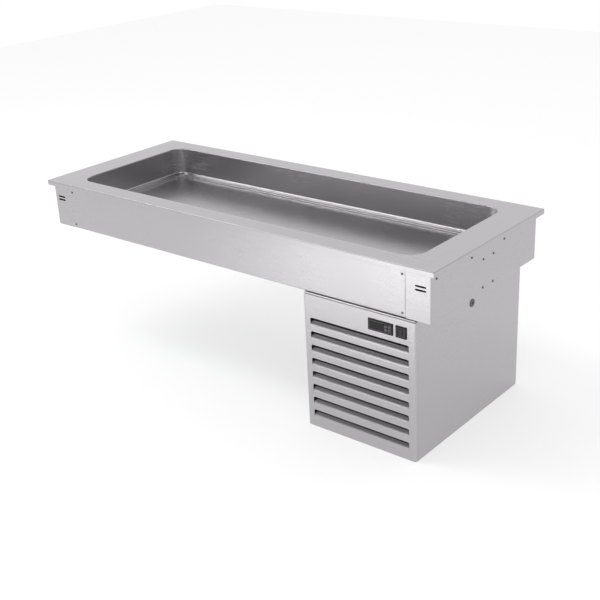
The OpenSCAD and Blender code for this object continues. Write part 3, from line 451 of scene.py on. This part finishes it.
# ---- well: one sheet from the lip in the flange down to the floor ----
well = {
    "length": 1500 * mm, "width": 514 * mm, "corner": 55 * mm, "sheet": 1.2 * mm,
    "top": 655 * mm, "lip": 8 * mm, "mouthBend": 3 * mm, "wallFoot": 551 * mm, "footBend": 8 * mm,
    "ledge": 28 * mm, "stepBend": 2 * mm, "step": 8 * mm, "cornerParts": 16, "bendParts": 6,
    "drain": (250 * mm, -80 * mm), "drainHole": 13.3 * mm, "drainParts": 48, "punch": 40 * mm,
    "sharpFrom": 30,
    "leastStep": 1e-6,  # a profile step shorter inwards than this goes straight down
}


def wellProfile():  # (distance in from the wall's inner face, height) of the upper side, lip first
    points = [(-well["lip"], well["top"]), (-well["mouthBend"], well["top"])]
    steps = [i / well["bendParts"] * math.pi / 2 for i in range(1, well["bendParts"] + 1)]
    bend, top, foot = well["mouthBend"], well["top"], well["wallFoot"]
    points += [(-bend + bend * math.sin(a), top - bend + bend * math.cos(a)) for a in steps]
    bend = well["footBend"]
    points += [(0, foot + bend)]
    points += [(bend - bend * math.cos(a), foot + bend - bend * math.sin(a)) for a in steps]
    bend = well["stepBend"] + well["sheet"]
    edge = well["ledge"] - well["stepBend"] - well["sheet"]
    points += [(edge, foot)]
    points += [(edge + bend * math.sin(a), foot - bend + bend * math.cos(a)) for a in steps]
    low = foot - well["step"]
    bend = well["stepBend"]
    inner = edge + 2 * bend + well["sheet"]
    points += [(inner - bend * math.cos(a), low + bend - bend * math.sin(a)) for a in steps]
    return points


def makeWell():
    points = wellProfile()
    lip = well["lip"]
    bpy.ops.mesh.primitive_plane_add(size=1, location=(0, 0, well["top"]))
    piece = bpy.context.active_object
    piece.scale = (well["length"] + 2 * lip, well["width"] + 2 * lip, 1)
    settle(piece, "wellPressing")
    bpy.ops.object.mode_set(mode="EDIT")
    bpy.ops.mesh.select_all(action="SELECT")
    bpy.ops.mesh.bevel(offset=well["corner"] + lip, segments=well["cornerParts"], affect="VERTICES")
    for (inBefore, zBefore), (inNow, zNow) in zip(points, points[1:]):
        if inNow - inBefore > well["leastStep"]:
            bpy.ops.mesh.inset(thickness=inNow - inBefore, use_even_offset=True)
            bpy.ops.transform.translate(value=(0, 0, zNow - zBefore))
        else:
            bpy.ops.mesh.extrude_region_move(TRANSFORM_OT_translate={"value": (0, 0, zNow - zBefore)})
    bpy.ops.object.mode_set(mode="OBJECT")
    wall = piece.modifiers.new("wall", "SOLIDIFY")
    wall.thickness = well["sheet"]
    wall.offset = -1
    applyAll(piece)
    bpy.ops.mesh.primitive_cylinder_add(vertices=well["drainParts"], radius=well["drainHole"],
                                        depth=well["punch"],
                                        location=(*well["drain"], well["wallFoot"] - well["step"]))
    punch = settle(bpy.context.active_object, "punch")
    cutWith(piece, punch)
    smooth(piece, well["sharpFrom"])
    dress(piece, "well_walls", "well_corners", "well_floor")


makeWell()
print("well pressed")

# ---- sheet metal that keeps its CAD shape, with its folds and cut edges eased ----
folds = {
    "casing": 3.4 * mm,  # outer radius of the casing's folds
    "seam": 1.0 * mm,
    "seamWithin": 1.0 * mm,  # how far from the front panel's end an edge still belongs to its seam
    "rimFoot": 1.2 * mm,  # where the flange's rim turns in, kept under the sheet's thickness
    "rimX": 859 * mm, "rimY": 329 * mm,  # the rim's foot lies past one of these
    "grilleTop": 7.0 * mm,
    "grilleSheet": 1.2 * mm,
    "grilleCorner": 6 * mm,  # radius of the grille's upright corners
    "grilleDepth": 7 * mm,  # its top is round from the front to this far back
    "grilleWithin": 0.06 * mm,  # how far its round corners' facets may lie off the true arc
    "edge": 0.5 * mm,
    "fineEdge": 0.2 * mm,
    "plastic": 0.6 * mm,
    "key": 0.5 * mm,
    "endFrom": 800 * mm,  # a panel's upright edges past this are the casing's corners
    "longEdge": 100 * mm,  # folds and seams are longer than this, the edges of slots aren't
}


def foldEdges(piece, wanted, radius, shortest=0.0, upright=False):  # rounds edges with both ends wanted
    takeUp(piece)
    bpy.ops.object.mode_set(mode="EDIT")
    bpy.ops.mesh.select_mode(type="EDGE")
    bpy.ops.mesh.select_all(action="DESELECT")
    bpy.ops.object.mode_set(mode="OBJECT")
    for edge in piece.data.edges:
        a, b = (piece.data.vertices[i].co for i in edge.vertices)
        edge.select = (a - b).length > shortest and wanted(a) and wanted(b)
        if upright and math.hypot(a.x - b.x, a.y - b.y) > tuning["touch"]:
            edge.select = False
    bpy.ops.object.mode_set(mode="EDIT")
    bpy.ops.mesh.bevel(offset=radius, segments=tuning["foldParts"], affect="EDGES")
    bpy.ops.object.mode_set(mode="OBJECT")


def foldUp(node, name, edgeWidth, *bends):
    piece = copyOfNode(node, name)
    for bend in bends:
        foldEdges(piece, *bend)
    roundEdges(piece, edgeWidth)
    parts = piece.modifiers.new("parts", "TRIANGULATE")  # splits faces that run round a hole
    parts.min_vertices = 5
    applyAll(piece)
    smooth(piece)
    dress(piece, node)


def outerFold(node):  # true on the outer corner and the bottom edge of a panel of the casing
    low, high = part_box(node)

    def wanted(place):
        onX = min(abs(place.x - low[0]), abs(place.x - high[0])) < tuning["touch"]
        onY = min(abs(place.y - low[1]), abs(place.y - high[1])) < tuning["touch"]
        onZ = abs(place.z - low[2]) < tuning["touch"]
        return (onX and abs(place.x) > folds["endFrom"]) + onY + onZ > 1
    return wanted


def seam():  # true where the casing's panels meet, on their outside
    low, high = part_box("front_panel")

    def wanted(place):
        atSeam = abs(abs(place.x) - high[0]) < folds["seamWithin"]
        return atSeam and abs(abs(place.y) + low[1]) < tuning["touch"]
    return wanted


def rimFoot():  # true on the foot of the flange's rim
    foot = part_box("top_flange")[0][2]

    def wanted(place):
        outside = abs(place.x) > folds["rimX"] or abs(place.y) > folds["rimY"]
        return outside and abs(place.z - foot) < tuning["touch"]
    return wanted


def grilleTop(depth):  # the outline of the grille's top edge, on its outside or as deep as its sheet
    low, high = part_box("front_grille")

    def wanted(place):
        level = abs(place.z - (high[2] - depth)) < tuning["touch"]
        inX = min(place.x - low[0], high[0] - place.x)
        inY = place.y - low[1]
        corner = folds["grilleCorner"]
        if inX < corner and inY < corner:
            reach = corner - math.hypot(corner - inX, corner - inY)
        else:
            reach = min(inX, inY)
        return level and abs(reach - depth) < folds["grilleWithin"] and inY < folds["grilleDepth"]
    return wanted


foldUp("top_flange", "flange", folds["fineEdge"], (rimFoot(), folds["rimFoot"]))
for node, name in (("front_panel", "frontSheet"), ("back_panel", "backSheet"),
                   ("right_end_panel", "rightSheet"), ("left_end_panel", "leftSheet")):
    foldUp(node, name, folds["edge"], (outerFold(node), folds["casing"], folds["longEdge"]),
           (seam(), folds["seam"], folds["longEdge"], True))
for node, name in (("cabinet_right_side", "cabinetRight"), ("cabinet_left_side", "cabinetLeft"),
                   ("cabinet_back", "cabinetBack")):
    foldUp(node, name, folds["edge"])
foldUp("front_grille", "grille", folds["fineEdge"], (grilleTop(0), folds["grilleTop"]),
       (grilleTop(folds["grilleSheet"]), folds["grilleTop"] - folds["grilleSheet"]))
print("sheets folded")

# ---- screws: domed heads with a cross recess, on plain shanks ----
screw = {
    "head": 3.8 * mm, "rise": 1.5 * mm, "dome": 0.9 * mm, "headParts": 28, "domeParts": 4,
    "topFrom": 0.9,  # share of the head's rise above which a face is its top
    "sharpFrom": 35,
    "shank": 1.8 * mm, "long": 6.5 * mm, "shankParts": 20,
    "bite": 0.2 * mm,  # how far the shank reaches into the head
    "slotLong": 4.4 * mm, "slotWide": 0.9 * mm, "slotDeep": 1.0 * mm,
    "frontX": 741 * mm, "frontY": 315 * mm, "frontZ": (496 * mm, 620 * mm),
    "endX": 840 * mm, "endY": (-285 * mm, -90 * mm, 105 * mm), "endZ": 617 * mm,
    "boxY": (-21 * mm, 40 * mm), "boxZ": (496.5 * mm, 589.5 * mm),
}


def makeScrew():  # its head stands on z = 0, with its shank below
    bpy.ops.mesh.primitive_cylinder_add(vertices=screw["headParts"], radius=screw["head"],
                                        depth=screw["rise"], location=(0, 0, screw["rise"] / 2))
    head = settle(bpy.context.active_object, "screwHead")
    bpy.ops.object.mode_set(mode="EDIT")
    bpy.ops.mesh.select_mode(type="FACE")
    bpy.ops.mesh.select_all(action="DESELECT")
    bpy.ops.object.mode_set(mode="OBJECT")
    for face in head.data.polygons:
        face.select = face.center.z > screw["rise"] * screw["topFrom"]
    bpy.ops.object.mode_set(mode="EDIT")
    bpy.ops.mesh.bevel(offset=screw["dome"], segments=screw["domeParts"], affect="EDGES")
    bpy.ops.object.mode_set(mode="OBJECT")
    bpy.ops.object.select_all(action="DESELECT")
    bars = []
    for turn in (0, math.pi / 2):
        bpy.ops.mesh.primitive_cube_add(size=1, location=(0, 0, screw["rise"]), rotation=(0, 0, turn))
        bar = bpy.context.active_object
        bar.scale = (screw["slotLong"], screw["slotWide"], screw["slotDeep"] * 2)
        bars.append(settle(bar, "recess"))
    for bar in bars:
        cutWith(head, bar)
    bpy.ops.mesh.primitive_cylinder_add(vertices=screw["shankParts"], radius=screw["shank"],
                                        depth=screw["long"],
                                        location=(0, 0, screw["bite"] - screw["long"] / 2))
    shank = settle(bpy.context.active_object, "screwShank")
    takeUp(head, shank)
    bpy.ops.object.join()
    smooth(head, screw["sharpFrom"])
    return head


def driveScrews(head, name, node, places, turn):  # turn lays the head's axis along the way out
    copies = []
    for place in places:
        one = bpy.data.objects.new(name, head.data.copy())
        one.data.transform(Matrix.Translation(place) @ turn)
        bpy.context.scene.collection.objects.link(one)
        copies.append(one)
    takeUp(*copies)
    bpy.ops.object.join()
    piece = settle(copies[0], name)
    dress(piece, node)


def placeScrews():
    head = makeScrew()
    x, y = screw["frontX"], screw["frontY"]
    toFront = Matrix.Rotation(math.pi / 2, 4, "X")
    toBack = Matrix.Rotation(-math.pi / 2, 4, "X")
    toRight = Matrix.Rotation(math.pi / 2, 4, "Y")
    toLeft = Matrix.Rotation(-math.pi / 2, 4, "Y")
    fronts = [(sx * x, -y, z) for sx in (-1, 1) for z in screw["frontZ"]]
    backs = [(sx * x, y, z) for sx in (-1, 1) for z in screw["frontZ"]]
    rights = [(screw["endX"], y, screw["endZ"]) for y in screw["endY"]]
    lefts = [(-screw["endX"], y, screw["endZ"]) for y in screw["endY"]]
    boxes = [(screw["endX"], y, z) for y in screw["boxY"] for z in screw["boxZ"]]
    driveScrews(head, "panelScrewHeads", "panel_screws", fronts, toFront)
    driveScrews(head, "backScrewHeads", "panel_screws", backs, toBack)
    driveScrews(head, "endScrewHeads", "end_screws", rights, toRight)
    driveScrews(head, "leftScrewHeads", "end_screws", lefts, toLeft)
    driveScrews(head, "boxScrewHeads", "terminal_box_screws", boxes, toRight)
    bpy.data.objects.remove(head)


placeScrews()
print("screws driven")

# ---- controller and switch ----
control = {
    "face": -321 * mm, "place": (663.5 * mm, 433 * mm), "size": (90 * mm, 37.5 * mm),
    "lipIn": 4.4 * mm, "lipWide": 1.3 * mm, "lipRise": 0.5 * mm,
    "dot": 1.7 * mm, "dotRise": 0.3 * mm, "dotFromSide": 2.2 * mm, "dotParts": 20,
    "softEdge": 0.2 * mm,
}
switch = {
    "place": (738.5 * mm, 433 * mm), "size": (38 * mm, 37.5 * mm),
    "lipIn": 4.6 * mm, "lipWide": 1.3 * mm,
    "lens": (2.6 * mm, 6.6 * mm, -9.0 * mm, 8.0 * mm),  # x from and to, z from and to, off "place"
    "mark": (-5.2 * mm, -1.6 * mm, 7.0 * mm, 9.4 * mm),
    "proud": 0.2 * mm,
    "lensEdge": 0.12 * mm,
    "windowDeep": 14 * mm,
}


def makeLip(name, place, size, inFrom, line, node):  # a fine raised line that runs round inside a frame, in lighter plastic that paints a highlight along it
    bpy.ops.mesh.primitive_plane_add(size=1, location=(place[0], control["face"], place[1]),
                                     rotation=(math.pi / 2, 0, 0))
    lip = bpy.context.active_object
    lip.scale = (size[0] - 2 * inFrom, size[1] - 2 * inFrom, 1)
    settle(lip, name)
    bpy.ops.object.mode_set(mode="EDIT")
    bpy.ops.mesh.select_mode(type="FACE")
    bpy.ops.mesh.select_all(action="SELECT")
    bpy.ops.mesh.inset(thickness=line, use_even_offset=True)
    bpy.ops.mesh.delete(type="FACE")
    bpy.ops.object.mode_set(mode="OBJECT")
    wall = lip.modifiers.new("wall", "SOLIDIFY")
    wall.thickness = 2 * control["lipRise"]
    wall.offset = 0
    applyAll(lip)
    roundEdges(lip, control["softEdge"])
    smooth(lip)
    paint(lip, finish["lipPlastic"])
    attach(lip, bodyOf(node))


def cutOut(name, node, window, material):  # a piece of a node's face, standing a little proud of it
    piece = copyOfNode(node, name)
    x, z = switch["place"]
    xFrom, xTo, zFrom, zTo = window
    middle = (x + (xFrom + xTo) / 2, control["face"], z + (zFrom + zTo) / 2)
    bpy.ops.mesh.primitive_cube_add(size=1, location=middle)
    frameBox = bpy.context.active_object
    frameBox.scale = (xTo - xFrom, switch["windowDeep"], zTo - zFrom)
    settle(frameBox, "window")
    cutWith(piece, frameBox, "INTERSECT")
    piece.data.transform(Matrix.Translation((0, -switch["proud"], 0)))
    roundEdges(piece, switch["lensEdge"], segments=1)
    smooth(piece)
    paint(piece, finish[material])
    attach(piece, bodyOf(node))


def dotKey(node, name):  # the dark dot at the right of a key
    low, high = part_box(node)
    place = (high[0] - control["dotFromSide"], low[1], (low[2] + high[2]) / 2)
    bpy.ops.mesh.primitive_cylinder_add(vertices=control["dotParts"], radius=control["dot"],
                                        depth=2 * control["dotRise"], location=place,
                                        rotation=(math.pi / 2, 0, 0))
    dot = settle(bpy.context.active_object, name)
    roundEdges(dot, control["softEdge"])
    smooth(dot)
    paint(dot, finish["blackPlastic"])
    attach(dot, bodyOf(node))


foldUp("switch_frame", "switchFrame", folds["plastic"])
foldUp("switch_rocker", "rockerCap", folds["plastic"])
foldUp("control_case", "controlCase", folds["plastic"])
makeLip("controlLip", control["place"], control["size"], control["lipIn"], control["lipWide"], "control_case")
makeLip("switchLip", switch["place"], switch["size"], switch["lipIn"], switch["lipWide"], "switch_frame")
cutOut("rockerLens", "switch_rocker", switch["lens"], "display")
cutOut("rockerMark", "switch_rocker", switch["mark"], "display")
for node in ("button_set", "button_up", "button_light", "button_down"):
    label = node.replace("button_", "")
    foldUp(node, label + "Key", folds["key"])
    if label in ("up", "down"):
        dotKey(node, label + "Dot")
print("controls made")

# ---- floor, background and light ----
light = {
    "floorSize": 14,
    "floorDrop": 0.2 * mm,
    "floorRough": 0.9,
    "floorColour": 0.45,
    "floorGlow": 0.55,
    "worldLevel": 0.88,
    "behind": (-0.65, 0.76, 0.0),  # the way the camera looks, where metal sees the white background
    "behindRange": (-0.2, 0.5),  # how far round from that way the white fades out and in
    "lowInFront": 0.4,  # what metal sees in front of the object, near the horizon and high up
    "highInFront": 0.13,
    "highFrom": 0.35,  # sine of the height from which it is high up
    "keyPlace": (2.0, -2.6, 4.6),
    "keyAim": (0.2, 0.0, 0.3),
    "keySize": (2.4, 2.4),
    "keyPower": 30,
    "edgePlace": (-2.6, -1.6, 4.6),  # over the front edge, where only the bends mirror it
    "edgeAim": (0.2, -0.3, 0.5),
    "edgeSize": (4.0, 1.4),
    "edgePower": 75,
    "poolHeight": 5.0,
    "poolSetBack": 0.7,  # how far the lamp hangs in front of its pool's middle
    "poolSoft": 0.3,
    "pools": (((-0.1, -2.1), 27, 3250), ((1.5, -2.0), 24, 1250)),  # middle on the floor, angle, power
}


def seenLevel(tree, others, inView):  # inView for rays from the camera, in metal and through glass
    path = addNode(tree, "ShaderNodeLightPath")
    both = sumOf(tree, "MAXIMUM", path.outputs["Is Camera Ray"], path.outputs["Is Glossy Ray"])
    return blendOf(tree, sumOf(tree, "MAXIMUM", both, path.outputs["Is Transmission Ray"]), others, inView)


def layFloor():
    bpy.ops.mesh.primitive_plane_add(size=light["floorSize"], location=(0, 0, -light["floorDrop"]))
    floor = settle(bpy.context.active_object, "studioFloor")
    material = bpy.data.materials.new("studioFloor")
    material.use_nodes = True
    tree = material.node_tree
    shader = tree.nodes["Principled BSDF"]
    shader.inputs["Base Color"].default_value = (light["floorColour"],) * 3 + (1,)
    shader.inputs["Roughness"].default_value = light["floorRough"]
    shader.inputs["Specular IOR Level"].default_value = 0.0
    glow = addNode(tree, "ShaderNodeEmission")
    tree.links.new(seenLevel(tree, 0.0, light["floorGlow"]), glow.inputs["Strength"])
    both = addNode(tree, "ShaderNodeAddShader")
    tree.links.new(shader.outputs[0], both.inputs[0])
    tree.links.new(glow.outputs[0], both.inputs[1])
    tree.links.new(both.outputs[0], tree.nodes["Material Output"].inputs["Surface"])
    paint(floor, material)


def lightWorld():
    world = bpy.data.worlds.new("studio")
    world.use_nodes = True
    bpy.context.scene.world = world
    tree = world.node_tree
    background = tree.nodes["Background"]
    background.inputs["Color"].default_value = (1, 1, 1, 1)
    turn = addNode(tree, "ShaderNodeVectorMath", operation="DOT_PRODUCT")
    tree.links.new(addNode(tree, "ShaderNodeTexCoord").outputs["Generated"], turn.inputs[0])
    turn.inputs[1].default_value = light["behind"]
    way = addNode(tree, "ShaderNodeSeparateXYZ")
    tree.links.new(addNode(tree, "ShaderNodeTexCoord").outputs["Generated"], way.inputs[0])
    front = rangeOf(tree, way.outputs["Z"], 0.0, light["highFrom"], light["lowInFront"], light["highInFront"])
    white = rangeOf(tree, turn.outputs["Value"], *light["behindRange"], 0.0, 1.0)
    inMetal = blendOf(tree, white, front, 1.0)
    path = addNode(tree, "ShaderNodeLightPath")
    level = blendOf(tree, path.outputs["Is Glossy Ray"], light["worldLevel"], inMetal)
    level = blendOf(tree, path.outputs["Is Transmission Ray"], level, 1.0)
    level = blendOf(tree, path.outputs["Is Camera Ray"], level, 1.0)
    tree.links.new(level, background.inputs["Strength"])


def hangLamp(name, place, target, size, power):  # the size is how long it is, lying along X, and how wide
    data = bpy.data.lights.new(name, "AREA")
    data.shape = "ELLIPSE"
    data.size, data.size_y = size
    data.energy = power
    lamp = bpy.data.objects.new(name, data)
    back = (Vector(place) - Vector(target)).normalized()
    along = (Vector((1, 0, 0)) - back * back.x).normalized()
    turn = Matrix((along, back.cross(along), back)).transposed().to_4x4()
    lamp.matrix_world = Matrix.Translation(place) @ turn
    bpy.context.scene.collection.objects.link(lamp)


def shinePools():  # soft pools of light on the floor in front, which the front sheets mirror
    for place, angle, power in light["pools"]:
        data = bpy.data.lights.new("poolLamp", "SPOT")
        data.energy = power
        data.spot_size = math.radians(angle)
        data.spot_blend = 1.0
        data.shadow_soft_size = light["poolSoft"]
        lamp = bpy.data.objects.new("poolLamp", data)
        lamp.location = (place[0], place[1] - light["poolSetBack"], light["poolHeight"])
        aim = (Vector((*place, 0)) - lamp.location).to_track_quat("-Z", "Y")
        lamp.rotation_euler = aim.to_euler()
        bpy.context.scene.collection.objects.link(lamp)


layFloor()
lightWorld()
shinePools()
for part in ("key", "edge"):
    hangLamp(part + "Lamp", *(light[part + value] for value in ("Place", "Aim", "Size", "Power")))
bpy.context.scene.view_settings.view_transform = "Standard"
print("studio lit")
